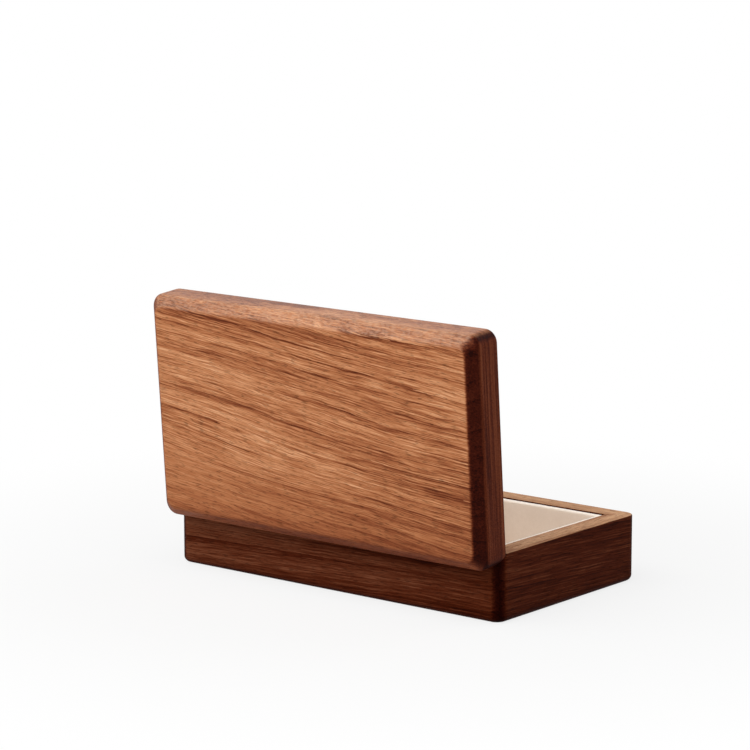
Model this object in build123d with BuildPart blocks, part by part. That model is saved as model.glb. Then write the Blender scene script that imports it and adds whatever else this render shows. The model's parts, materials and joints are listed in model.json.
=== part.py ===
from build123d import *
import math
import os

# Walnut jewelry box: a lined tray under a hinged, padded lid.
# Millimetres, +Z up. X runs along the box, the front faces -Y and the hinges are at the back.
# The origin is the centre of the underside. The lid is modelled open, leaning on its stop.

# Case
box_length = 160.0
box_depth = 90.0
base_height = 26.5
lid_height = 15.5
wall = 9.0
corner_radius = 5.0
base_edge_radius = 2.5
rim_edge_radius = 0.5
lid_chamfer = 4.0
lid_face_corner_radius = 4.0
lid_ridge_radius = 2.4
lid_rim_radius = 1.2
parting_gap = 0.2
open_angle = 94.5

# Floor board, let into a rabbet under the walls
floor_thickness = 5.0
rabbet_width = 4.5
floor_clearance = 0.1

# Recess in the lid board
recess_depth = 9.5
recess_corner_radius = 2.0

# Fabric-wrapped boards that line the walls and part the tray
liner_thickness = 2.5
liner_clearance = 0.1
liner_below_rim = 0.3
lip_radius = 0.8
divider_thickness = 2.5
divider_below_rim = 3.0
left_room = 57.0
ring_room = 44.0

# Pads
pad_thickness = 2.5
pad_crown = 0.8
pad_clearance = 0.3
pad_corner_radius = 1.5
pad_side_draw = 0.4
pad_edge_radius = 0.8

# Ring cushion: rolls on a card
card_thickness = 1.0
roll_count = 4
roll_height = 14.5
roll_gap = 0.3
roll_foot_draw = 0.7
roll_end_radius = 1.2

# Barrel hinges
hinge_spacing = 100.0
barrel_radius = 3.0
barrel_length = 10.0
barrel_foot_chamfer = 0.4
bore_clearance = 0.05
bore_floor_gap = 0.1
knuckle_radius = 1.8
knuckle_clearance = 0.3
tongue_width = 1.2
tongue_side_gap = 0.1
cheek_width = 1.3
pin_radius = 0.75
pin_running_clearance = 0.05
pin_seat_clearance = 0.02

# Magnets
magnet_spacing = 30.0
magnet_radius = 2.5
magnet_thickness = 3.0
magnet_clearance = 0.05
magnet_below_rim = 0.1

# Far enough past the outside for a cut to run clear
overrun = 5.0

# The hinge axis lies over the middle of the rear wall, halfway up the parting gap
hinge_inset = wall / 2
wall_middle = box_depth / 2 - hinge_inset
hinge_y = wall_middle
hinge_z = base_height + parting_gap / 2
hinge_stations = {"left": -hinge_spacing / 2, "right": hinge_spacing / 2}
magnet_stations = [-magnet_spacing / 2, magnet_spacing / 2]

# Both rear edges are bevelled by half the opening angle, so that the bevels meet at the stop
bevel_slope = math.tan(math.radians(open_angle / 2))
bevel_start = parting_gap / 2 * math.tan(math.radians(open_angle / 4))
bevel_reach = hinge_inset + overrun

# Frames on the hinge axis, X along it, for the base and for the open lid. The lid's Y runs towards
# its rear edge and its Z from the parting face towards the outer face.
base_frame = Plane(origin=(0, hinge_y, hinge_z), x_dir=(1, 0, 0), z_dir=(0, 0, 1))
lean = math.radians(open_angle)
lid_frame = Plane(
    origin=(0, hinge_y, hinge_z),
    x_dir=(1, 0, 0),
    z_dir=(0, math.sin(lean), math.cos(lean)),
)
lid_axis = Axis(lid_frame.origin, lid_frame.z_dir)
lid_middle = hinge_inset - box_depth / 2
lid_face = parting_gap / 2

# Hollow of the tray and of the lid
hollow_length = box_length - 2 * wall
hollow_depth = box_depth - 2 * wall
floor_plane = Plane.XY.offset(floor_thickness)
recess_plane = Plane(
    origin=lid_frame.from_local_coords((0, lid_middle, lid_face + recess_depth)),
    x_dir=(1, 0, 0),
    z_dir=lid_frame.z_dir * -1,
)
tray_liner_height = base_height - floor_thickness - liner_below_rim
lid_liner_height = recess_depth - liner_below_rim
room_length = hollow_length - 2 * (liner_thickness + liner_clearance)
room_depth = hollow_depth - 2 * (liner_thickness + liner_clearance)

# Places along X of the tray's dividers and rooms
left_divider_x = -room_length / 2 + left_room + divider_thickness / 2
ring_room_x = left_divider_x + divider_thickness / 2 + ring_room / 2
right_divider_x = ring_room_x + ring_room / 2 + divider_thickness / 2
pocket_length = room_length / 2 - right_divider_x - divider_thickness / 2
pocket_x = room_length / 2 - pocket_length / 2
pocket_depth = (room_depth - divider_thickness) / 2
pocket_y = (divider_thickness + pocket_depth) / 2

os.makedirs("parts", exist_ok=True)


def bevel_outline(face, side):
    """Section of the waste cut off a rear edge. The edge's face lies at height face, and side is 1
    where the waste lies above the bevel and -1 where it lies below."""
    return [
        (bevel_start, face),
        (bevel_start + bevel_reach, face - side * bevel_reach * bevel_slope),
        (bevel_start + bevel_reach, face + side * overrun),
        (bevel_start, face + side * overrun),
    ]


def section_plane(frame, x):
    """Plane across the hinge axis at x: its X is the frame's Y and its Y the frame's Z."""
    return Plane(
        origin=frame.from_local_coords((x, 0, 0)),
        x_dir=frame.y_dir,
        z_dir=frame.x_dir,
    )


# Case of the base in one piece, from which the four mitred walls are parted
with BuildPart() as base_case:
    with BuildSketch():
        RectangleRounded(box_length, box_depth, corner_radius)
    extrude(amount=base_height)
    fillet(base_case.edges().group_by(Axis.Z)[0], base_edge_radius)
    fillet(base_case.edges().group_by(Axis.Z)[-1], rim_edge_radius)
    with BuildSketch():
        Rectangle(hollow_length, hollow_depth)
    extrude(amount=base_height, mode=Mode.SUBTRACT)
    with BuildSketch():
        Rectangle(hollow_length + 2 * rabbet_width, hollow_depth + 2 * rabbet_width)
    extrude(amount=floor_thickness, mode=Mode.SUBTRACT)
    with BuildSketch(section_plane(base_frame, -box_length / 2 - overrun)):
        with BuildLine():
            Polyline(*bevel_outline(-lid_face, 1), close=True)
        make_face()
    extrude(amount=box_length + 2 * overrun, mode=Mode.SUBTRACT)
    with Locations(*[(x, hinge_y, base_height) for x in hinge_stations.values()]):
        Hole(
            radius=barrel_radius + bore_clearance,
            depth=barrel_length + bore_floor_gap,
        )
    with Locations(*[(x, -wall_middle, base_height) for x in magnet_stations]):
        Hole(
            radius=magnet_radius + magnet_clearance,
            depth=magnet_thickness + magnet_below_rim,
        )

# Plan of each wall, a strip whose ends are mitred at the corners
out_x = box_length / 2
out_y = box_depth / 2
in_x = out_x - wall
in_y = out_y - wall
wall_plans = {
    "base_front_wall": [(-out_x, -out_y), (out_x, -out_y), (in_x, -in_y), (-in_x, -in_y)],
    "base_right_wall": [(out_x, -out_y), (out_x, out_y), (in_x, in_y), (in_x, -in_y)],
    "base_rear_wall": [(out_x, out_y), (-out_x, out_y), (-in_x, in_y), (in_x, in_y)],
    "base_left_wall": [(-out_x, out_y), (-out_x, -out_y), (-in_x, -in_y), (-in_x, in_y)],
}
for name, plan in wall_plans.items():
    with BuildPart() as base_wall:
        with BuildSketch():
            with BuildLine():
                Polyline(*plan, close=True)
            make_face()
        extrude(amount=base_height)
        add(base_case.part, mode=Mode.INTERSECT)
    base_wall.part.label = name
    export_step(base_wall.part, f"parts/{name}.step")

with BuildPart() as base_floor:
    with BuildSketch():
        Rectangle(
            hollow_length + 2 * (rabbet_width - floor_clearance),
            hollow_depth + 2 * (rabbet_width - floor_clearance),
        )
    extrude(amount=floor_thickness)
base_floor.part.label = "base_floor"
export_step(base_floor.part, "parts/base_floor.step")

# Lid board: chamfered round its outer face, hollowed inside, bevelled at its rear edge. The ridges of
# the chamfer are rounded, and so are the corners of the outer face.
chamfer_foot = lid_face + lid_height - lid_chamfer
with BuildPart() as lid_board:
    with BuildSketch(lid_frame.offset(lid_face)):
        with Locations((0, lid_middle)):
            RectangleRounded(box_length, box_depth, corner_radius)
    extrude(amount=lid_height - lid_chamfer)
    with BuildSketch(lid_frame.offset(chamfer_foot)):
        with Locations((0, lid_middle)):
            RectangleRounded(box_length, box_depth, corner_radius)
    with BuildSketch(lid_frame.offset(chamfer_foot + lid_chamfer)):
        with Locations((0, lid_middle)):
            RectangleRounded(
                box_length - 2 * lid_chamfer,
                box_depth - 2 * lid_chamfer,
                lid_face_corner_radius,
            )
    loft(ruled=True)
    outer_edges = lid_board.faces().sort_by(lid_axis)[-1].edges()
    foot_edges = lid_board.edges().group_by(lid_axis)[-3]
    fillet(outer_edges + foot_edges, lid_ridge_radius)
    fillet(lid_board.faces().sort_by(lid_axis)[0].edges(), lid_rim_radius)
    with BuildSketch(lid_frame.offset(lid_face)):
        with Locations((0, lid_middle)):
            RectangleRounded(hollow_length, hollow_depth, recess_corner_radius)
    extrude(amount=recess_depth, mode=Mode.SUBTRACT)
    with BuildSketch(section_plane(lid_frame, -box_length / 2 - overrun)):
        with BuildLine():
            Polyline(*bevel_outline(lid_face, -1), close=True)
        make_face()
    extrude(amount=box_length + 2 * overrun, mode=Mode.SUBTRACT)
    with BuildSketch(lid_frame):
        with Locations(*[(x, 0) for x in hinge_stations.values()]):
            Circle(barrel_radius + bore_clearance)
    extrude(amount=barrel_length + bore_floor_gap, mode=Mode.SUBTRACT)
    with BuildSketch(lid_frame):
        with Locations(*[(x, lid_middle - wall_middle) for x in magnet_stations]):
            Circle(magnet_radius + magnet_clearance)
    extrude(amount=lid_face + magnet_thickness + magnet_below_rim, mode=Mode.SUBTRACT)
lid_board.part.label = "lid_board"
export_step(lid_board.part, "parts/lid_board.step")


def lining_board(plane, centre, length, depth, height, milled_radius):
    """Upright board on plane with a rounded lip. A board that fills a milled recess from end to end
    has its two outer corners rounded by milled_radius."""
    with BuildPart() as board:
        with BuildSketch(plane) as outline:
            with Locations(centre):
                Rectangle(length, depth)
            if milled_radius > 0:
                outer_corners = outline.vertices().group_by(Axis.Y)[-1 if centre[1] > 0 else 0]
                fillet(outer_corners, milled_radius)
        extrude(amount=height)
        upward = Axis(plane.origin, plane.z_dir)
        fillet(board.faces().sort_by(upward)[-1].edges(), lip_radius)
    return board.part


def pad(plane, centre, length, depth):
    """Soft pad that lies on plane: drawn-in sides, a crown and rounded edges."""
    half_x = length / 2
    half_y = depth / 2
    half_diagonal = math.hypot(half_x, half_y)
    crown_radius = (half_diagonal**2 + pad_crown**2) / (2 * pad_crown)
    top = pad_thickness + pad_crown
    foot = Plane(
        origin=plane.from_local_coords((centre[0], centre[1], 0)),
        x_dir=plane.x_dir,
        z_dir=plane.z_dir,
    )
    corners = [(-half_x, -half_y), (half_x, -half_y), (half_x, half_y), (-half_x, half_y)]
    drawn_in = [
        (0, pad_side_draw - half_y),
        (half_x - pad_side_draw, 0),
        (0, half_y - pad_side_draw),
        (pad_side_draw - half_x, 0),
    ]
    with BuildPart() as cushion:
        with BuildSketch(foot) as outline:
            with BuildLine():
                for number, middle in enumerate(drawn_in):
                    ThreePointArc(corners[number], middle, corners[(number + 1) % 4])
            make_face()
            fillet(outline.vertices(), pad_corner_radius)
        extrude(amount=top + pad_crown)
        with Locations(foot.offset(top - crown_radius)):
            Sphere(crown_radius, mode=Mode.INTERSECT)
        fillet(cushion.faces().sort_by(Axis(foot.origin, foot.z_dir))[-1].edges(), pad_edge_radius)
    return cushion.part


# Linings of the tray and of the lid. The lid's plane looks out of the recess, so its Y runs the
# other way from the tray's.
long_board = hollow_length - 2 * liner_clearance
board_y = (room_depth + liner_thickness) / 2
board_x = (room_length + liner_thickness) / 2
linings = {
    "tray": (floor_plane, tray_liner_height, 0.0, 1),
    "lid": (recess_plane, lid_liner_height, recess_corner_radius, -1),
}
for place, (plane, height, milled_radius, back) in linings.items():
    boards = {
        "front": ((0, -back * board_y), long_board, liner_thickness, milled_radius),
        "rear": ((0, back * board_y), long_board, liner_thickness, milled_radius),
        "left": ((-board_x, 0), liner_thickness, room_depth, 0.0),
        "right": ((board_x, 0), liner_thickness, room_depth, 0.0),
    }
    for side, (centre, length, depth, corner) in boards.items():
        name = f"{place}_{side}_liner"
        liner = lining_board(plane, centre, length, depth, height, corner)
        liner.label = name
        export_step(liner, f"parts/{name}.step")

# Dividers of the tray
divider_height = base_height - floor_thickness - divider_below_rim
dividers = {
    "left_divider": ((left_divider_x, 0), divider_thickness, room_depth),
    "right_divider": ((right_divider_x, 0), divider_thickness, room_depth),
    "pocket_divider": ((pocket_x, 0), pocket_length, divider_thickness),
}
for name, (centre, length, depth) in dividers.items():
    divider = lining_board(floor_plane, centre, length, depth, divider_height, 0.0)
    divider.label = name
    export_step(divider, f"parts/{name}.step")

# Pads of the open rooms, and the padded panel in the lid
left_room_x = -room_length / 2 + left_room / 2
pads = {
    "left_pad": (floor_plane, (left_room_x, 0), left_room, room_depth),
    "front_pocket_pad": (floor_plane, (pocket_x, -pocket_y), pocket_length, pocket_depth),
    "rear_pocket_pad": (floor_plane, (pocket_x, pocket_y), pocket_length, pocket_depth),
    "lid_pad": (recess_plane, (0, 0), room_length, room_depth),
}
for name, (plane, centre, length, depth) in pads.items():
    cushion = pad(plane, centre, length - 2 * pad_clearance, depth - 2 * pad_clearance)
    cushion.label = name
    export_step(cushion, f"parts/{name}.step")

# Ring cushion: a card with a row of rolls, each with a narrow foot and a round top
card_length = ring_room - 2 * liner_clearance
card_depth = room_depth - 2 * liner_clearance
with BuildPart() as ring_card:
    with BuildSketch(floor_plane):
        with Locations((ring_room_x, 0)):
            Rectangle(card_length, card_depth)
    extrude(amount=card_thickness)
ring_card.part.label = "ring_card"
export_step(ring_card.part, "parts/ring_card.step")

roll_width = (ring_room - (roll_count + 1) * roll_gap) / roll_count
roll_length = room_depth - 2 * roll_gap
roll_pitch = roll_width + roll_gap
half_width = roll_width / 2
half_foot = half_width - roll_foot_draw
shoulder = roll_height - half_width
for number in range(roll_count):
    roll_x = ring_room_x + (number - (roll_count - 1) / 2) * roll_pitch
    roll_plane = Plane(
        origin=(roll_x, roll_length / 2, floor_thickness + card_thickness),
        x_dir=(1, 0, 0),
        z_dir=(0, -1, 0),
    )
    with BuildPart() as ring_roll:
        with BuildSketch(roll_plane):
            with BuildLine():
                Line((-half_foot, 0), (half_foot, 0))
                TangentArc((half_width, shoulder), (half_foot, 0), tangent=(0, -1))
                ThreePointArc((half_width, shoulder), (0, roll_height), (-half_width, shoulder))
                TangentArc((-half_width, shoulder), (-half_foot, 0), tangent=(0, -1))
            make_face()
        extrude(amount=roll_length)
        end_edges = ring_roll.faces().filter_by(Axis.Y).edges()
        fillet(end_edges.filter_by(Axis.X, reverse=True), roll_end_radius)
    name = f"ring_roll_{number + 1}"
    ring_roll.part.label = name
    export_step(ring_roll.part, f"parts/{name}.step")

# Disc magnets, just under the rim of the base's front and of the lid's front
with BuildPart() as base_magnets:
    with BuildSketch(Plane.XY.offset(base_height - magnet_below_rim)):
        with Locations(*[(x, -wall_middle) for x in magnet_stations]):
            Circle(magnet_radius)
    extrude(amount=-magnet_thickness)
base_magnets.part.label = "base_magnets"
export_step(base_magnets.part, "parts/base_magnets.step")

with BuildPart() as lid_magnets:
    with BuildSketch(lid_frame.offset(lid_face + magnet_below_rim)):
        with Locations(*[(x, lid_middle - wall_middle) for x in magnet_stations]):
            Circle(magnet_radius)
    extrude(amount=magnet_thickness)
lid_magnets.part.label = "lid_magnets"
export_step(lid_magnets.part, "parts/lid_magnets.step")


def barrel_half(frame, x, side, knuckles, pin_clearance):
    """One half of a barrel hinge. The barrel runs from the hinge axis along the frame's Z, down for
    side 1 and up for side -1, and is bevelled as the wood round it is. knuckles lists where
    along the axis each of its knuckles starts and how wide it is."""
    into_wood = -side
    barrel_start = knuckle_radius + knuckle_clearance
    with BuildPart() as half:
        with BuildSketch(frame.offset(into_wood * barrel_start)):
            with Locations((x, 0)):
                Circle(barrel_radius)
        extrude(amount=into_wood * (barrel_length - barrel_start))
        along_barrel = Axis(frame.origin, frame.z_dir * into_wood)
        chamfer(half.faces().sort_by(along_barrel)[-1].edges(), barrel_foot_chamfer)
        with BuildSketch(section_plane(frame, x - overrun)):
            with BuildLine():
                Polyline(*bevel_outline(into_wood * lid_face, side), close=True)
            make_face()
        extrude(amount=2 * overrun, mode=Mode.SUBTRACT)
        for start, width in knuckles:
            with BuildSketch(section_plane(frame, x + start)):
                Circle(knuckle_radius)
                with Locations((0, into_wood * (barrel_start + knuckle_clearance) / 2)):
                    Rectangle(2 * knuckle_radius, barrel_start + knuckle_clearance)
                Circle(pin_radius + pin_clearance, mode=Mode.SUBTRACT)
            extrude(amount=width)
    return half.part


# Barrel hinges: the base's half has one tongue, which turns between the two cheeks of the lid's
cheek_start = tongue_width / 2 + tongue_side_gap
tongue = [(-tongue_width / 2, tongue_width)]
cheeks = [(cheek_start, cheek_width), (-cheek_start - cheek_width, cheek_width)]
pin_length = 2 * (cheek_start + cheek_width)
for side, x in hinge_stations.items():
    base_half = barrel_half(base_frame, x, 1, tongue, pin_running_clearance)
    base_half.label = f"{side}_hinge_base_barrel"
    export_step(base_half, f"parts/{side}_hinge_base_barrel.step")

    lid_half = barrel_half(lid_frame, x, -1, cheeks, pin_seat_clearance)
    lid_half.label = f"{side}_hinge_lid_barrel"
    export_step(lid_half, f"parts/{side}_hinge_lid_barrel.step")

    with BuildPart() as hinge_pin:
        with BuildSketch(section_plane(base_frame, x - pin_length / 2)):
            Circle(pin_radius)
        extrude(amount=pin_length)
    hinge_pin.part.label = f"{side}_hinge_pin"
    export_step(hinge_pin.part, f"parts/{side}_hinge_pin.step")
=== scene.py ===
import json
import math

import bpy
import bmesh
from mathutils import Matrix, Vector


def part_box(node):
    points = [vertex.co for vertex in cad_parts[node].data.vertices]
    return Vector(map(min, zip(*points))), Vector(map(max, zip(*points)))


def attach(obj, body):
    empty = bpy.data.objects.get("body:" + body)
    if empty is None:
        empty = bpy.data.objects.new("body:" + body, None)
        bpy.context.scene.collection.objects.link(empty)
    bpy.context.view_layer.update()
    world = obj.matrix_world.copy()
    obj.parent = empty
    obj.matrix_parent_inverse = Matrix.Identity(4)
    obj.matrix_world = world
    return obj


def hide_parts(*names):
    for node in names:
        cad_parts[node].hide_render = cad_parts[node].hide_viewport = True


# Walnut jewelry box with its lid open: wooden case, fabric-lined tray and padded ring rolls.
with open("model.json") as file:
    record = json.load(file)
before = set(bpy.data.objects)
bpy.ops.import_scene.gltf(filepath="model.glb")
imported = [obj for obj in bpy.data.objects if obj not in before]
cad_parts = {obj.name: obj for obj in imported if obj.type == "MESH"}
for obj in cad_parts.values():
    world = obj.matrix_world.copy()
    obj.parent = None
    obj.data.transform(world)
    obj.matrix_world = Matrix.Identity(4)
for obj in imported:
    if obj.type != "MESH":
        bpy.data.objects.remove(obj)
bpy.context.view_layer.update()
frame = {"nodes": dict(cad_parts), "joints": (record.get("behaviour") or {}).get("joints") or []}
mm = 0.001
xAxis, yAxis, zAxis = Vector((1, 0, 0)), Vector((0, 1, 0)), Vector((0, 0, 1))

hinge = frame["joints"][0]
hingePoint = Vector(hinge["pos_m"])
openAngle = math.radians(max(hinge["range_deg"]))
toHinge = Matrix.Translation(hingePoint)
lidSwing = toHinge @ Matrix.Rotation(-openAngle, 4, "X") @ toHinge.inverted()
lidUp = Vector((0, -math.cos(openAngle), math.sin(openAngle)))  # from the hinge to the lid's front edge
lidOut = Vector((0, math.sin(openAngle), math.cos(openAngle)))  # out of the lid's outer face


# Shader maths


class Wire:
    # One socket's value: each operator adds a Math node
    def __init__(self, paint, socket):
        self.paint = paint
        self.socket = socket

    def math(self, operation, *values):
        sockets = dict(enumerate((self, *values)))
        return self.paint.node("ShaderNodeMath", {"operation": operation}, sockets)

    def __add__(self, other):
        return self.math("ADD", other)

    def __sub__(self, other):
        return self.math("SUBTRACT", other)

    def __mul__(self, other):
        return self.math("MULTIPLY", other)

    def __truediv__(self, other):
        return self.math("DIVIDE", other)

    def __pow__(self, other):
        return self.math("POWER", other)

    def __rsub__(self, other):
        return self * -1.0 + other

    def __abs__(self):
        return self.math("ABSOLUTE")

    __radd__ = __add__
    __rmul__ = __mul__


class Paint:
    # The node tree of a material or of the world, and the ways to add to it
    def __init__(self, owner):
        owner.use_nodes = True
        self.owner = owner
        self.tree = owner.node_tree
        self.tree.nodes.clear()

    def node(self, kind, settings, sockets, out=0):
        made = self.tree.nodes.new(kind)
        for key, value in settings.items():
            if key == "stops":
                self.setStops(made.color_ramp, value)
            else:
                setattr(made, key, value)
        for key, value in sockets.items():
            if isinstance(value, Wire):
                self.tree.links.new(value.socket, made.inputs[key])
            else:
                made.inputs[key].default_value = value
        if out is None:
            return made
        return Wire(self, made.outputs[out])

    def setStops(self, ramp, stops):
        while len(ramp.elements) < len(stops):
            ramp.elements.new(1.0)
        for element, (place, colour) in zip(ramp.elements, stops):
            element.position = place
            element.color = (*colour, 1)

    def dot(self, vector, direction):
        settings = {"operation": "DOT_PRODUCT"}
        return self.node("ShaderNodeVectorMath", settings, {0: vector, 1: tuple(direction)}, "Value")

    def measure(self, spot, direction, start):
        # Millimetres from start, along a direction
        return self.dot(spot, Vector(direction) / mm) - Vector(start).dot(Vector(direction)) / mm

    def noise(self, sides, sizes, detail=2.0, roughness=0.5, seed=0.0):
        # Noise whose grains are as long, wide and deep as sizes says, in millimetres
        scaled = [side / size for side, size in zip(sides, sizes)]
        scaled[0] = scaled[0] + seed
        place = self.node("ShaderNodeCombineXYZ", {}, dict(enumerate(scaled)))
        sockets = {"Vector": place, "Scale": 1.0, "Detail": detail, "Roughness": roughness}
        return self.node("ShaderNodeTexNoise", {}, sockets)

    def step(self, value, low, high):
        # 0 below low, 1 above high and smooth between
        sockets = {"Value": value, "From Min": low, "From Max": high}
        return self.node("ShaderNodeMapRange", {"interpolation_type": "SMOOTHSTEP"}, sockets)

    def ramp(self, value, stops):
        return self.node("ShaderNodeValToRGB", {"stops": stops}, {0: value})

    def mix(self, factor, first, second, how="MIX"):
        settings = {"data_type": "RGBA", "blend_type": how}
        return self.node("ShaderNodeMix", settings, {0: factor, 6: first, 7: second}, 2)

    def finish(self, sockets, height, depth, strength):
        bump = {"Height": height, "Distance": depth, "Strength": strength}
        sockets["Normal"] = self.node("ShaderNodeBump", {}, bump)
        surface = self.node("ShaderNodeBsdfPrincipled", {}, sockets)
        self.node("ShaderNodeOutputMaterial", {}, {"Surface": surface}, None)
        return self.owner


def newPaint(name):
    return Paint(bpy.data.materials.new(name))


def grey(level):
    return (level, level, level)


def redder(level, strength=1.0):
    # A darkening that takes more green and blue than red, as oil does; the painted shades use it too
    return (level, level ** (1 + 0.5 * strength), level ** (1 + 0.65 * strength))


# Walnut

walnut = dict(
    # The grain, in millimetres: along the board, across it and through it
    sway=dict(size=(90.0, 36.0, 36.0), detail=1.0, roughness=0.4, seed=0),
    wobble=dict(size=(15.0, 6.0, 6.0), detail=2.0, roughness=0.6, seed=17),
    bands=dict(size=(260.0, 13.0, 13.0), detail=1.0, roughness=0.6, seed=7),
    streaks=dict(size=(120.0, 3.6, 3.6), detail=3.0, roughness=0.6, seed=0),
    hairs=dict(size=(60.0, 0.72, 0.72), detail=2.0, roughness=0.6, seed=3),
    fibres=dict(size=(14.0, 0.42, 0.42), detail=2.0, roughness=0.6, seed=9),
    pores=dict(size=(3.8, 0.42, 0.42), detail=1.0, roughness=0.6, seed=5),
    strongRings=dict(size=(90.0, 7.0, 7.0), detail=1.0, roughness=0.6, seed=15),
    speckle=dict(size=(1.6, 0.8, 0.8), detail=2.0, roughness=0.6, seed=0),
    poreSteps=(0.56, 0.66),
    # Growth rings
    ringPitch=5.4,
    ringLean=3.0,  # rings shift by one pitch over this many pitches of depth
    ringJitter=1.5,
    ringLine=(11.0, 0.6),  # how late in a ring the wood darkens, and its share of the darkening
    ringBody=(3.5, 0.4),
    strongSteps=(0.38, 0.62),
    # How much of each shows in the figure
    bandShare=0.95,
    streakShare=0.58,
    hairShare=0.93,
    fibreShare=1.6,
    ringShare=0.62,
    # End grain: sizes across the board, through it and along it
    endLines=dict(size=(60.0, 1.3, 60.0), detail=3.0, roughness=0.6, seed=11),
    endDots=dict(size=(0.42, 0.42, 0.42), detail=1.0, roughness=0.5, seed=13),
    endLineShare=2.1,
    endDotShare=0.7,
    endFacing=(0.80, 0.97),
    # Roughness and relief
    ior=1.45,
    roughness=0.44,
    poreRoughness=0.16,
    fibreRoughness=0.22,
    endRoughness=0.12,
    roughEnds=(0.4, 0.9),
    fibreHeight=0.5,
    poreDepth=0.05 * mm,
    relief=0.5,
)


class BoardPaint(Paint):
    # One board's walnut: its layers share the distances along, across and through the board
    def __init__(self, name, board):
        super().__init__(bpy.data.materials.new(name))
        self.board = board
        spot = self.node("ShaderNodeTexCoord", {}, {}, "Object")
        self.normal = self.node("ShaderNodeTexCoord", {}, {}, "Normal")
        self.along = self.measure(spot, board["grain"], board["start"])
        self.across = self.measure(spot, board["across"], board["start"])
        self.deep = self.measure(spot, board["deep"], board["start"])
        self.straight = (self.along, self.across, self.deep)
        self.line = self.grainLine()
        self.grown = (self.along, self.line, self.deep)
        self.fibres = self.grains(self.grown, "fibres") - 0.5
        self.pores = self.step(self.grains(self.grown, "pores"), *walnut["poreSteps"])
        self.rise = self.dot(self.normal, board["across"])
        self.turned = self.dot(self.normal, board["grain"])
        # How far a face is turned to the end grain, counted less at the end that faces the light: a painted
        # light there
        self.endOilAndShade = (self.turned * board["litEndShare"]).math("MAXIMUM", self.turned * -1.0)

    def grains(self, sides, kind):
        grain = walnut[kind]
        seed = self.board["seed"] + grain["seed"]
        return self.noise(sides, grain["size"], grain["detail"], grain["roughness"], seed)

    def grainLine(self):
        # The lines slope, wander and wobble across the board, and bow where the tree had a bend
        board, along, across = self.board, self.along, self.across
        sway = (self.grains(self.straight, "sway") - 0.5) * board["sway"]
        wobble = (self.grains(self.straight, "wobble") - 0.5) * board["wobble"]
        line = across - along * board["slope"] - sway - wobble
        if "bow" in board:
            bow = board["bow"]
            lift = ((along - bow["along"]) / bow["span"]).math("TANH")
            fade = (across - bow["across"]) / bow["width"]
            line = line - lift * bow["rise"] / (fade * fade + 1.0)
        return line

    def rings(self, streaks):
        # Growth rings darken slowly and end in a thin dark line, some strong and some faint
        pitch = walnut["ringPitch"]
        lean = self.deep / (walnut["ringLean"] * pitch)
        ring = (self.line / pitch + lean + streaks * walnut["ringJitter"]).math("FRACT")
        strong = self.step(self.grains(self.grown, "strongRings"), *walnut["strongSteps"])
        (lateLine, lineShare), (lateBody, bodyShare) = walnut["ringLine"], walnut["ringBody"]
        return (ring ** lateLine * lineShare + ring ** lateBody * bodyShare) * strong

    def tone(self):
        # How light the wood is, from its figure and from what shades the whole board
        board, along, across = self.board, self.along, self.across
        bands = self.grains(self.grown, "bands") - 0.5
        streaks = self.grains(self.grown, "streaks") - 0.5
        hairs = self.grains(self.grown, "hairs") - 0.5
        rings = self.rings(streaks)
        figure = bands * walnut["bandShare"] + streaks * walnut["streakShare"] + hairs * walnut["hairShare"]
        figure = figure + self.fibres * walnut["fibreShare"] - rings * walnut["ringShare"]
        if "calm" in board:
            # The wood nearest the hinge is plainer
            figure = figure * (self.step(self.line, *board["calm"]) * 0.5 + 0.5)
        heart = (across - board["heart"]) / board["heartWidth"]
        tone = figure * board["figure"] + board["level"] + along * board["tilt"]
        tone = tone - heart * heart * board["heartFade"]
        for patch in board["patches"]:
            tone = tone + self.step(across, *patch["reach"]) * (along * patch["tilt"] - patch["fade"])
        return tone

    def endGrain(self):
        # Fine lines across the board's thickness, with open pores as dots
        endOn = (self.across, self.deep, self.along)
        lines = (self.grains(endOn, "endLines") - 0.5) * walnut["endLineShare"]
        dots = (self.grains(endOn, "endDots") - 0.5) * walnut["endDotShare"]
        return self.ramp(lines + dots + 0.5, self.board["tones"])

    def darken(self, wood, amount, stops):
        return self.mix(1.0, wood, self.ramp(amount, stops), "MULTIPLY")


# Painted shade under the boards and by the table, painted light on their rims, painted sheen on the lid's
# chamfer, and the lid's coat of polish
edgeShadeSheenAndPolish = dict(
    underShadeFacing=(-0.75, -0.15),
    underShadeBlend=0.5,
    underShadeRedness=1.3,
    litRimFacing=(0.74, 0.95),
    chamferFacing=(0.72, 1.0),
    edgeFacing=(0.72, 0.98),
    endFade=(0.45, 0.1),
    speckleSteps=(0.36, 0.64),
    paintedSheenTint=(0.47, 0.30, 0.20),
    paintedSheenSpeckle=0.25,
    paintedSheenEven=0.13,
    edgePolish=0.4,
    chamferPolish=0.2,
    polishSpeckle=0.5,
    polishEven=0.7,
    polishRoughness=0.4,
)


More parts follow.
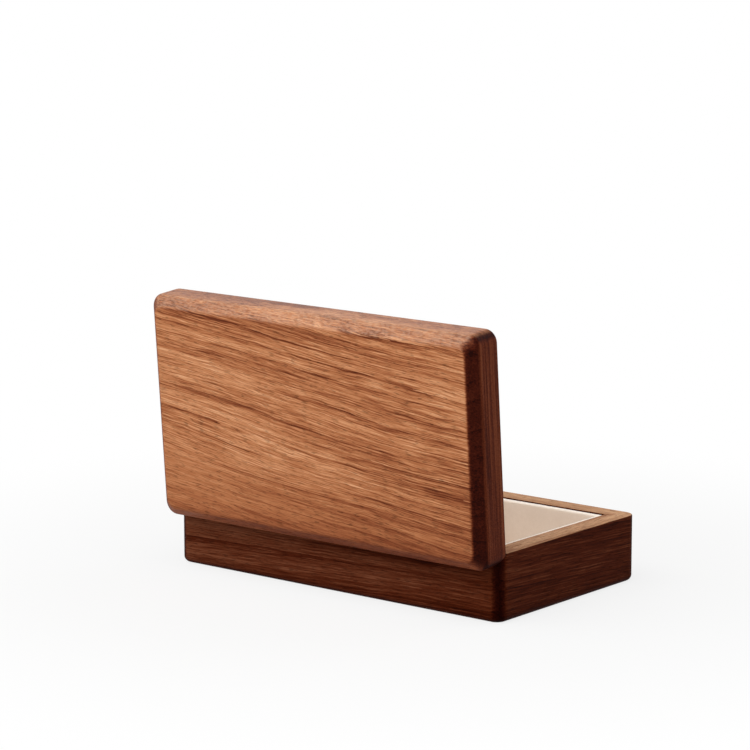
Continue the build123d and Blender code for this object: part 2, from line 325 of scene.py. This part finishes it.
def lidSheenAndPolish(paint, sockets):
    # Fingers lift the lid by its front edge and have polished it; its chamfer is painted paler in speckles,
    # a painted sheen from the light above
    slant = paint.dot(paint.normal, paint.board["sheenChamfer"])
    plain = paint.step(paint.endOilAndShade, *edgeShadeSheenAndPolish["endFade"])
    sheenChamfer = paint.step(slant, *edgeShadeSheenAndPolish["chamferFacing"]) * plain
    handled = paint.step(paint.rise, *edgeShadeSheenAndPolish["edgeFacing"]) * plain
    speckle = paint.step(paint.grains(paint.straight, "speckle"), *edgeShadeSheenAndPolish["speckleSteps"])
    paintedSheenShare = sheenChamfer * (speckle * edgeShadeSheenAndPolish["paintedSheenSpeckle"] + edgeShadeSheenAndPolish["paintedSheenEven"])
    sockets["Base Color"] = paint.mix(paintedSheenShare, sockets["Base Color"], (*edgeShadeSheenAndPolish["paintedSheenTint"], 1))
    polish = handled * edgeShadeSheenAndPolish["edgePolish"] + sheenChamfer * edgeShadeSheenAndPolish["chamferPolish"]
    sockets["Coat Weight"] = polish * (speckle * edgeShadeSheenAndPolish["polishSpeckle"] + edgeShadeSheenAndPolish["polishEven"])
    sockets["Coat Roughness"] = edgeShadeSheenAndPolish["polishRoughness"]


def walnutPaint(name, board):
    paint = BoardPaint(name, board)
    tone = paint.tone()
    facing = abs(paint.turned)
    plank = paint.ramp(tone, board["tones"])
    wood = paint.mix(paint.step(facing, *walnut["endFacing"]), plank, paint.endGrain())

    # Wood cut across its fibres drinks more oil, most of all where it is cut on the slant; the darkening is
    # also a painted shade on faces turned from the light, and is less at the lit end
    oilAndShadeStops = [(place, redder(level)) for place, level in board["endShade"]]
    wood = paint.darken(wood, paint.endOilAndShade, oilAndShadeStops)

    # Faces turned down are painted darker, most of all near the foot or hinge edge: a painted shade, and by
    # the table a painted contact shadow
    clear = paint.step(paint.across, 0.0, board["underShadeReach"]) * edgeShadeSheenAndPolish["underShadeBlend"] + (1 - edgeShadeSheenAndPolish["underShadeBlend"])
    foot = paint.step(paint.rise, *edgeShadeSheenAndPolish["underShadeFacing"]) * clear
    paintedUnderShade = redder(board["paintedUnderShade"], edgeShadeSheenAndPolish["underShadeRedness"])
    wood = paint.darken(wood, foot, [(0.0, paintedUnderShade), (1.0, grey(1.0))])

    # Upward faces, the rims most, get the lit tones: a painted light from above; the pores are dark
    # everywhere
    litRimShare = paint.step(paint.rise, *edgeShadeSheenAndPolish["litRimFacing"]) * board["litRimShare"]
    wood = paint.mix(litRimShare, wood, paint.ramp(tone, board["litRimTones"]))
    wood = paint.darken(wood, paint.pores, [(0.0, grey(1.0)), (1.0, grey(board["poreShade"]))])

    roughness = paint.pores * walnut["poreRoughness"] + paint.fibres * walnut["fibreRoughness"]
    roughness = roughness + paint.step(facing, *walnut["roughEnds"]) * walnut["endRoughness"]
    sockets = {
        "Base Color": wood,
        "Roughness": roughness + walnut["roughness"],
        "IOR": walnut["ior"],
        "Specular IOR Level": board["gloss"],
    }
    if "sheenChamfer" in board:
        lidSheenAndPolish(paint, sockets)
    height = paint.fibres * walnut["fibreHeight"] - paint.pores
    return paint.finish(sockets, height, walnut["poreDepth"], walnut["relief"])


# Colours of the wood, from its darkest tone to its lightest; the case's tones are a shaded copy of the
# walnut, a painted shade, and the rim tones a lit copy, a painted light on upward faces
lidTones = [
    (0.00, (0.110, 0.025, 0.009)),
    (0.22, (0.210, 0.057, 0.021)),
    (0.50, (0.385, 0.140, 0.056)),
    (0.74, (0.530, 0.234, 0.107)),
    (1.00, (0.660, 0.350, 0.187)),
]
shadedCaseTones = [
    (0.00, (0.018, 0.002, 0.001)),
    (0.25, (0.037, 0.005, 0.001)),
    (0.50, (0.066, 0.011, 0.003)),
    (0.75, (0.110, 0.028, 0.011)),
    (1.00, (0.170, 0.055, 0.026)),
]
litRimTones = [
    (0.00, (0.210, 0.078, 0.033)),
    (0.30, (0.325, 0.150, 0.070)),
    (0.55, (0.440, 0.232, 0.122)),
    (0.80, (0.540, 0.310, 0.172)),
    (1.00, (0.620, 0.390, 0.230)),
]
# How dark a face is made, by how far it is turned towards the end grain: partly oil, partly painted shade
lidShade = [
    (0.00, 1.00), (0.14, 0.94), (0.34, 0.45), (0.54, 0.13), (0.80, 0.09), (0.95, 0.26), (1.00, 0.30),
]
caseShade = [
    (0.00, 1.00), (0.18, 0.95), (0.36, 0.45), (0.56, 0.22), (0.72, 0.16), (1.00, 0.34),
]


def caseBoard(grain, across, deep, slope, seed, level=0.50, tilt=0.0):
    return dict(
        grain=grain, across=across, deep=deep, start=(0, 0, 0), seed=seed,
        slope=slope, sway=3.0, wobble=0.9,
        figure=0.75, level=level, tilt=tilt, heart=0.0, heartWidth=45.0, heartFade=0.0, patches=(),
        # The tones are a shaded copy of the walnut, a painted shade; the rim tones a lit copy, a painted
        # light
        tones=shadedCaseTones, litRimTones=litRimTones, litRimShare=1.0, poreShade=0.62, gloss=0.015,
        # Faces turned down carry a painted shade; the end grain's darkening is partly oil and partly
        # painted shade
        endShade=caseShade, litEndShare=1.0, paintedUnderShade=0.40, underShadeReach=6.0,
    )


# Lengths in millimetres; reach says where across the board a patch begins and where it is full
boards = {
    "lid_board": dict(
        grain=xAxis, across=lidUp, deep=lidOut, start=hingePoint, seed=2.0,
        slope=0.105, sway=5.0, wobble=1.3,
        bow=dict(along=40.0, span=26.0, across=40.0, width=24.0, rise=2.6),
        calm=(4.0, 30.0),
        figure=0.94, level=0.625, tilt=0.0002, heart=42.0, heartWidth=40.0, heartFade=0.165,
        patches=(
            # The patch by the hinge is a painted shade, darker towards the lower right
            dict(reach=(45.0, 5.0), tilt=0.0009, fade=0.045),
            dict(reach=(45.0, 80.0), tilt=-0.0005, fade=0.035),
        ),
        # Upward faces get some of the lit rim tones: a painted light
        tones=lidTones, litRimTones=litRimTones, litRimShare=0.3, poreShade=0.60, gloss=0.05,
        # The end that faces the light is darkened less, a painted light; faces turned down carry a painted
        # shade
        endShade=lidShade, litEndShare=0.55, paintedUnderShade=0.66, underShadeReach=6.0,
        # The front chamfer, which gets a painted sheen
        sheenChamfer=(lidUp + lidOut).normalized(),
    ),
    "base_rear_wall": caseBoard(xAxis, zAxis, yAxis, -0.02, 21.0, level=0.69, tilt=0.0022),
    "base_front_wall": caseBoard(xAxis, zAxis, yAxis, 0.03, 34.0, level=0.62),
    "base_left_wall": caseBoard(yAxis, zAxis, xAxis, 0.05, 47.0),
    "base_right_wall": caseBoard(yAxis, zAxis, xAxis, -0.04, 59.0, level=0.60),
    "base_floor": caseBoard(xAxis, yAxis, zAxis, 0.03, 73.0),
}


def dress(node, material):
    slots = frame["nodes"][node].data.materials
    slots.clear()
    slots.append(material)


for node, board in boards.items():
    dress(node, walnutPaint(node.replace("_", " ") + " walnut", board))
print("walnut boards finished")


# Metal: turned brass hinges, their steel pins and plated magnets

metal = dict(
    filmSize=1.8,
    filmSteps=(0.35, 0.7),
    filmRoughness=0.3,
    markDepth=0.01 * mm,
    relief=0.25,
)
finishes = {
    "turned brass": dict(
        tint=(0.78, 0.56, 0.26), dull=(0.62, 0.42, 0.18), roughness=0.26,
        markSize=(2.5, 2.5, 0.15), seed=1.0,
        nodes=(
            "left_hinge_base_barrel", "right_hinge_base_barrel",
            "left_hinge_lid_barrel", "right_hinge_lid_barrel",
        ),
    ),
    "hinge pin steel": dict(
        tint=(0.66, 0.65, 0.63), dull=(0.5, 0.49, 0.47), roughness=0.25,
        markSize=(0.15, 2.0, 2.0), seed=3.0,
        nodes=("left_hinge_pin", "right_hinge_pin"),
    ),
    "nickel plate": dict(
        tint=(0.44, 0.43, 0.41), dull=(0.26, 0.25, 0.24), roughness=0.36,
        markSize=(0.8, 0.8, 0.8), seed=5.0,
        nodes=("base_magnets", "lid_magnets"),
    ),
}


def metalPaint(name, finish):
    paint = newPaint(name)
    spot = paint.node("ShaderNodeTexCoord", {}, {}, "Object")
    sides = [paint.measure(spot, direction, (0, 0, 0)) for direction in (xAxis, yAxis, zAxis)]
    film = paint.noise(sides, (metal["filmSize"],) * 3, detail=3.0, roughness=0.6)
    marks = paint.noise(sides, finish["markSize"], seed=finish["seed"])
    tarnish = paint.step(film, *metal["filmSteps"])
    sockets = {
        "Base Color": paint.mix(tarnish, (*finish["tint"], 1), (*finish["dull"], 1)),
        "Metallic": 1.0,
        "Roughness": (film - 0.5) * metal["filmRoughness"] + finish["roughness"],
    }
    return paint.finish(sockets, marks, metal["markDepth"], metal["relief"])


for name, finish in finishes.items():
    material = metalPaint(name, finish)
    for node in finish["nodes"]:
        dress(node, material)
print("metal finished")


# Brushed fabric

fabric = dict(
    tint=(0.850, 0.735, 0.635),
    deepTint=(0.770, 0.655, 0.550),
    # A painted highlight on the liners' upper edges
    litLipTint=(0.920, 0.830, 0.740),
    napSize=0.22,
    cloudSize=7.0,
    crushSize=1.6,
    napShare=1.1,
    cloudShare=0.5,
    crushShare=0.5,
    tintSteps=(0.1, 0.9),
    litLipFacing=(0.3, 0.8),
    crushHeight=0.6,
    fibreDepth=0.06 * mm,
    relief=0.5,
    roughness=0.92,
    gloss=0.2,
    sheen=0.35,
    sheenRoughness=0.45,
    sheenTint=(1.0, 0.93, 0.86),
)


def fabricPaint(name, seed, lip):
    paint = newPaint(name)
    spot = paint.node("ShaderNodeTexCoord", {}, {}, "Object")
    normal = paint.node("ShaderNodeTexCoord", {}, {}, "Normal")
    sides = [paint.measure(spot, direction, (0, 0, 0)) for direction in (xAxis, yAxis, zAxis)]
    nap = paint.noise(sides, (fabric["napSize"],) * 3, roughness=0.7, seed=seed)
    cloud = paint.noise(sides, (fabric["cloudSize"],) * 3, seed=seed)
    crush = paint.noise(sides, (fabric["crushSize"],) * 3, detail=3.0, roughness=0.6, seed=seed)
    depth = (nap - 0.5) * fabric["napShare"] + (cloud - 0.5) * fabric["cloudShare"]
    depth = depth + (crush - 0.5) * fabric["crushShare"] + 0.5
    raised = paint.step(depth, *fabric["tintSteps"])
    tint = paint.mix(raised, (*fabric["deepTint"], 1), (*fabric["tint"], 1))
    if lip:
        # The boards' upper edges are painted paler: a painted highlight from the light above
        litLipShare = paint.step(paint.dot(normal, zAxis), *fabric["litLipFacing"])
        tint = paint.mix(litLipShare, tint, (*fabric["litLipTint"], 1))
    sockets = {
        "Base Color": tint,
        "Roughness": fabric["roughness"],
        "Specular IOR Level": fabric["gloss"],
        "Sheen Weight": fabric["sheen"],
        "Sheen Roughness": fabric["sheenRoughness"],
        "Sheen Tint": (*fabric["sheenTint"], 1),
    }
    height = nap + crush * fabric["crushHeight"]
    return paint.finish(sockets, height, fabric["fibreDepth"], fabric["relief"])


linerFabric = fabricPaint("liner microfibre", 3.0, True)
cushionFabric = fabricPaint("cushion microfibre", 9.0, False)


# Soft pieces, modelled from the places of the plain solids that they stand for

sewing = dict(creaseAngle=40, rippleDetail=2)


def pick(piece):
    bpy.ops.object.select_all(action="DESELECT")
    piece.select_set(True)
    bpy.context.view_layer.objects.active = piece


def closedBox(node):
    # Corners of a node of the lid, with the lid swung shut
    back = lidSwing.inverted()
    corners = [back @ vertex.co for vertex in frame["nodes"][node].data.vertices]
    low = Vector([min(corner[i] for corner in corners) for i in range(3)])
    high = Vector([max(corner[i] for corner in corners) for i in range(3)])
    return low, high


def blockAt(name, low, high):
    bpy.ops.object.select_all(action="DESELECT")
    bpy.ops.mesh.primitive_cube_add(size=1, location=(low + high) / 2)
    piece = bpy.context.active_object
    piece.name = name
    piece.data.name = name
    piece.scale = high - low
    bpy.ops.object.transform_apply(location=True, rotation=True, scale=True)
    return piece


def selectEdges(piece, test):
    # In edit mode, leaves selected only the edges that pass the test
    mesh = bmesh.from_edit_mesh(piece.data)
    bpy.ops.mesh.select_all(action="DESELECT")
    bpy.ops.mesh.select_mode(type="EDGE")
    for edge in mesh.edges:
        edge.select_set(test(edge.verts[0].co, edge.verts[1].co))
    bmesh.update_edit_mesh(piece.data)


def roundAllEdges(piece, radius, segments):
    bpy.ops.object.mode_set(mode="EDIT")
    bpy.ops.mesh.select_all(action="SELECT")
    bpy.ops.mesh.bevel(offset=radius, segments=segments, profile=0.5)
    bpy.ops.object.mode_set(mode="OBJECT")


def applyModifier(piece, kind, **settings):
    pick(piece)
    modifier = piece.modifiers.new(kind.lower(), kind)
    for key, value in settings.items():
        setattr(modifier, key, value)
    bpy.ops.object.modifier_apply(modifier=modifier.name)


def ripple(piece, size, strength):
    # Foam and fabric are never quite even
    clouds = bpy.data.textures.new(piece.name + "Ripple", "CLOUDS")
    clouds.noise_scale = size
    clouds.noise_depth = sewing["rippleDetail"]
    applyModifier(
        piece, "DISPLACE", texture=clouds, strength=strength, mid_level=0.5, texture_coords="LOCAL",
    )


def cover(piece, node, body, material):
    pick(piece)
    bpy.ops.object.shade_smooth_by_angle(angle=math.radians(sewing["creaseAngle"]))
    piece.data.materials.append(material)
    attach(piece, body)
    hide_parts(node)


def swingOpen(piece):
    piece.matrix_world = lidSwing @ piece.matrix_world
    pick(piece)
    bpy.ops.object.transform_apply(location=True, rotation=True, scale=True)


# Fabric-wrapped boards

lining = dict(
    lipRadius=1.0 * mm,
    lipSegments=6,
    longCuts=46,
    tallCuts=10,
    tallEdge=3 * mm,  # edges that rise more than this are cut up too
    unevenSize=7 * mm,
    uneven=0.14 * mm,
    near=0.001 * mm,
)


def liningBoard(name, low, high, opening):
    # opening is 1 where the free lip is on top and -1 where it is underneath
    piece = blockAt(name, low, high)
    lip = high.z if opening > 0 else low.z
    longSide = 0 if high.x - low.x > high.y - low.y else 1
    near = lining["near"]

    def runsLong(a, b):
        return abs(a[longSide] - b[longSide]) > near

    def onLip(a, b):
        return abs(a.z - lip) < near and abs(b.z - lip) < near

    bpy.ops.object.mode_set(mode="EDIT")
    selectEdges(piece, lambda a, b: onLip(a, b) and runsLong(a, b))
    bpy.ops.mesh.bevel(offset=lining["lipRadius"], segments=lining["lipSegments"], profile=0.5)
    selectEdges(piece, runsLong)
    bpy.ops.mesh.subdivide(number_cuts=lining["longCuts"])
    selectEdges(piece, lambda a, b: abs(a.z - b.z) > lining["tallEdge"])
    bpy.ops.mesh.subdivide(number_cuts=lining["tallCuts"])
    bpy.ops.object.mode_set(mode="OBJECT")
    ripple(piece, lining["unevenSize"], lining["uneven"])
    return piece


for node in frame["nodes"]:
    if node.startswith("tray_") or node.endswith("divider"):
        low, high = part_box(node)
        cover(liningBoard(node + "_fabric", low, high, 1), node, "base", linerFabric)
    if node.startswith("lid_") and node.endswith("liner"):
        low, high = closedBox(node)
        piece = liningBoard(node + "_fabric", low, high, -1)
        swingOpen(piece)
        cover(piece, node, "lid", linerFabric)
print("lining boards finished")


# Fabric drawn over foam: the shell is blown up as cloth, then held within what the foam allows

stuffing = dict(
    sewScale=10.0,  # the cloth solver works on pieces this much larger than life
    lastFrame=20,
    quality=4,
    mass=0.3,
    stiffness=0.4,
    looseness=-0.015,
    pressure=4.0,
    glueReach=0.75,  # in cells, from the side that is glued down
    smoothFactor=0.5,
    smoothing=2,
)


def blowUp(piece, glued):
    group = piece.vertex_groups.new(name="glued")
    group.add(glued, 1.0, "REPLACE")
    cloth = piece.modifiers.new("cloth", "CLOTH")
    cloth.settings.quality = stuffing["quality"]
    cloth.settings.mass = stuffing["mass"]
    cloth.settings.bending_stiffness = stuffing["stiffness"]
    cloth.settings.shrink_min = stuffing["looseness"]
    cloth.settings.use_pressure = True
    cloth.settings.uniform_pressure_force = stuffing["pressure"]
    cloth.settings.vertex_group_mass = "glued"
    cloth.settings.effector_weights.gravity = 0
    cloth.collision_settings.use_collision = False
    cloth.point_cache.frame_start = 1
    cloth.point_cache.frame_end = stuffing["lastFrame"]
    for number in range(1, stuffing["lastFrame"] + 1):
        bpy.context.scene.frame_set(number)
    pick(piece)
    bpy.ops.object.modifier_apply(modifier="cloth")
    bpy.context.scene.frame_set(1)
    piece.vertex_groups.clear()


def stuff(piece, foot, cell, cap, low, high):
    # foot is the height of the side that is glued down, and cell the size of the shell's faces
    scale = stuffing["sewScale"]
    pick(piece)
    piece.scale = (scale,) * 3
    bpy.ops.object.transform_apply(location=True, rotation=True, scale=True)
    applyModifier(piece, "REMESH", mode="VOXEL", voxel_size=cell * scale)
    start = [vertex.co.copy() for vertex in piece.data.vertices]
    reach = stuffing["glueReach"] * cell * scale
    blowUp(piece, [i for i, spot in enumerate(start) if abs(spot.z - foot * scale) < reach])
    for vertex, spot in zip(piece.data.vertices, start):
        move = vertex.co - spot
        if move.length > cap * scale:
            move = move * (cap * scale / move.length)
        vertex.co = [min(max((spot + move)[i], low[i] * scale), high[i] * scale) for i in range(3)]
    piece.scale = (1 / scale,) * 3
    bpy.ops.object.transform_apply(location=True, rotation=True, scale=True)
    applyModifier(piece, "SMOOTH", factor=stuffing["smoothFactor"], iterations=stuffing["smoothing"])


# Pads

padding = dict(
    edge=0.8 * mm,
    edgeSegments=4,
    start=0.1 * mm,
    flat=0.7 * mm,
    cell=0.8 * mm,
    lidCell=1.0 * mm,
    cap=0.7 * mm,
    unevenSize=20 * mm,
    uneven=0.12 * mm,
)


def padAt(name, low, high, opening, cell):
    # The foam is a little smaller all round than the pad and has no crown yet
    foot = low.z if opening > 0 else high.z
    small, large = low.copy(), high.copy()
    for side in (0, 1):
        small[side] += padding["start"]
        large[side] -= padding["start"]
    if opening > 0:
        large.z -= padding["flat"]
    else:
        small.z += padding["flat"]
    piece = blockAt(name, small, large)
    roundAllEdges(piece, padding["edge"], padding["edgeSegments"])
    stuff(piece, foot, cell, padding["cap"], low, high)
    ripple(piece, padding["unevenSize"], padding["uneven"])
    return piece


for node in ("left_pad", "front_pocket_pad", "rear_pocket_pad"):
    piece = padAt(node + "_cushion", *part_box(node), 1, padding["cell"])
    cover(piece, node, "base", cushionFabric)
piece = padAt("lid_pad_cushion", *closedBox("lid_pad"), -1, padding["lidCell"])
swingOpen(piece)
cover(piece, "lid_pad", "lid", cushionFabric)
print("pads finished")


# Ring rolls on their card

roll = dict(
    sides=56,
    start=0.25 * mm,
    footSteps=4,
    footDraw=0.9 * mm,
    endRadius=1.4 * mm,
    endSegments=4,
    cell=0.65 * mm,
    cap=0.55 * mm,
    unevenSize=14 * mm,
    uneven=0.12 * mm,
    near=0.01 * mm,
)


def ringRoll(name, low, high):
    # A cylinder cut at half height, drawn down to the card on a narrow foot
    middle = (low + high) / 2
    radius = (high.x - low.x) / 2 - roll["start"]
    length = high.y - low.y - 2 * roll["start"]
    shoulder = high.z - roll["start"] - radius
    bpy.ops.object.select_all(action="DESELECT")
    bpy.ops.mesh.primitive_cylinder_add(
        vertices=roll["sides"], radius=radius, depth=length, end_fill_type="NGON",
        location=(middle.x, middle.y, shoulder), rotation=(math.pi / 2, 0, 0),
    )
    piece = bpy.context.active_object
    piece.name = name
    piece.data.name = name
    bpy.ops.object.transform_apply(location=True, rotation=True, scale=True)
    bpy.ops.object.mode_set(mode="EDIT")
    bpy.ops.mesh.select_all(action="SELECT")
    bpy.ops.mesh.bisect(plane_co=(middle.x, middle.y, shoulder), plane_no=(0, 0, 1), clear_inner=True)
    near = roll["near"]
    selectEdges(piece, lambda a, b: abs(a.z - shoulder) < near and abs(b.z - shoulder) < near)
    drop = (low.z - shoulder) / roll["footSteps"]
    for number in range(roll["footSteps"]):
        bpy.ops.mesh.extrude_region_move(TRANSFORM_OT_translate={"value": (0, 0, drop)})
    bpy.ops.mesh.edge_face_add()
    bpy.ops.object.mode_set(mode="OBJECT")
    for vertex in piece.data.vertices:
        down = max(0.0, (shoulder - vertex.co.z) / (shoulder - low.z))
        vertex.co.x -= math.copysign(roll["footDraw"] * down * down, vertex.co.x - middle.x)
    bpy.ops.object.mode_set(mode="EDIT")
    ends = (middle.y - length / 2, middle.y + length / 2)

    def onEndRim(a, b):
        onEnd = any(abs(a.y - end) < near and abs(b.y - end) < near for end in ends)
        return onEnd and max(a.z, b.z) > low.z + near

    selectEdges(piece, onEndRim)
    bpy.ops.mesh.bevel(offset=roll["endRadius"], segments=roll["endSegments"], profile=0.5)
    bpy.ops.mesh.select_all(action="SELECT")
    bpy.ops.mesh.normals_make_consistent(inside=False)
    bpy.ops.object.mode_set(mode="OBJECT")
    stuff(piece, low.z, roll["cell"], roll["cap"], low, high)
    ripple(piece, roll["unevenSize"], roll["uneven"])
    return piece


for node in sorted(node for node in frame["nodes"] if node.startswith("ring_roll")):
    piece = ringRoll(node + "_cushion", *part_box(node))
    cover(piece, node, "base", cushionFabric)

card = dict(edge=0.3 * mm, segments=3)
piece = blockAt("ring_card_fabric", *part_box("ring_card"))
roundAllEdges(piece, card["edge"], card["segments"])
cover(piece, "ring_card", "base", linerFabric)
print("ring rolls finished")


# Studio: pale floor, soft light and the camera

studio = dict(
    floorSize=6.0,
    floorDrop=0.05 * mm,
    floorTint=(0.62, 0.62, 0.615),
    nearGlow=0.80,
    nearReach=(0.10, 0.28),
    ambient=0.36,
    lampAim=(0, 0, 0.04),
)
lamps = {
    "key": dict(power=7.4, place=(0.48, 1.10, 0.86), size=1.4),
    "top": dict(power=17.5, place=(-0.10, 0.72, 1.22), size=1.8),
    "edge": dict(power=2.5, place=(0.86, 0.50, 1.13), size=1.0),
    "fill": dict(power=6.0, place=(-0.7, -1.2, 0.8), size=1.4),
}
view = dict(
    azimuth=218.731,
    elevation=10.494,
    distance=1.3124,
    target=(0.0182, -0.0035, 0.0762),
    lens=158.69,
    sensorWidth=36,
    clipEnd=20,
)
white = (1, 1, 1, 1)


def seesBackground(paint):
    # 1 for rays that show the background: those from the camera, and those mirrored or let through
    path = paint.node("ShaderNodeLightPath", {}, {}, None)
    kinds = ("Is Camera Ray", "Is Glossy Ray", "Is Transmission Ray")
    rays = [Wire(paint, path.outputs[kind]) for kind in kinds]
    return (rays[0] + rays[1] + rays[2]).math("MINIMUM", 1.0)


def floorPaint():
    # White far off, and pale round the object, where it takes the object's shadow
    paint = newPaint("pale floor")
    spot = paint.node("ShaderNodeTexCoord", {}, {}, "Object")
    reach = paint.node("ShaderNodeVectorMath", {"operation": "LENGTH"}, {0: spot}, "Value")
    nearGlow = studio["nearGlow"]
    glowShare = paint.step(reach, *studio["nearReach"]) * (1 - nearGlow) + nearGlow
    matt = paint.node("ShaderNodeBsdfDiffuse", {}, {"Color": (*studio["floorTint"], 1)})
    glow = paint.node("ShaderNodeEmission", {}, {"Color": white, "Strength": 1.0})
    sockets = {0: seesBackground(paint) * glowShare, 1: matt, 2: glow}
    both = paint.node("ShaderNodeMixShader", {}, sockets)
    paint.node("ShaderNodeOutputMaterial", {}, {"Surface": both}, None)
    return paint.owner


bpy.ops.object.select_all(action="DESELECT")
bpy.ops.mesh.primitive_plane_add(size=studio["floorSize"], location=(0, 0, -studio["floorDrop"]))
floor = bpy.context.active_object
floor.name = "floor"
floor.data.materials.append(floorPaint())


def softLamp(name, power, place, size):
    lamp = bpy.data.lights.new(name, "AREA")
    lamp.energy = power
    lamp.shape = "DISK"
    lamp.size = size
    holder = bpy.data.objects.new(name, lamp)
    holder.location = place
    toBox = Vector(studio["lampAim"]) - Vector(place)
    holder.rotation_euler = toBox.to_track_quat("-Z", "Y").to_euler()
    bpy.context.scene.collection.objects.link(holder)


for name, lamp in lamps.items():
    softLamp(name, lamp["power"], lamp["place"], lamp["size"])


def studioSky():
    paint = Paint(bpy.data.worlds.new("studio"))
    dim = paint.node("ShaderNodeBackground", {}, {"Color": white, "Strength": studio["ambient"]})
    bright = paint.node("ShaderNodeBackground", {}, {"Color": white, "Strength": 1.0})
    both = paint.node("ShaderNodeMixShader", {}, {0: seesBackground(paint), 1: dim, 2: bright})
    paint.node("ShaderNodeOutputWorld", {}, {"Surface": both}, None)
    return paint.owner


bpy.context.scene.world = studioSky()
bpy.context.scene.view_settings.view_transform = "Standard"

azimuth, elevation = math.radians(view["azimuth"]), math.radians(view["elevation"])
outward = Vector((
    math.sin(azimuth) * math.cos(elevation),
    -math.cos(azimuth) * math.cos(elevation),
    math.sin(elevation),
))
lens = bpy.data.cameras.new("camera")
lens.lens = view["lens"]
lens.sensor_width = view["sensorWidth"]
lens.clip_end = view["clipEnd"]
camera = bpy.data.objects.new("camera", lens)
camera.location = Vector(view["target"]) + outward * view["distance"]
camera.rotation_euler = (-outward).to_track_quat("-Z", "Y").to_euler()
bpy.context.scene.collection.objects.link(camera)
bpy.context.scene.camera = camera
print("studio finished")
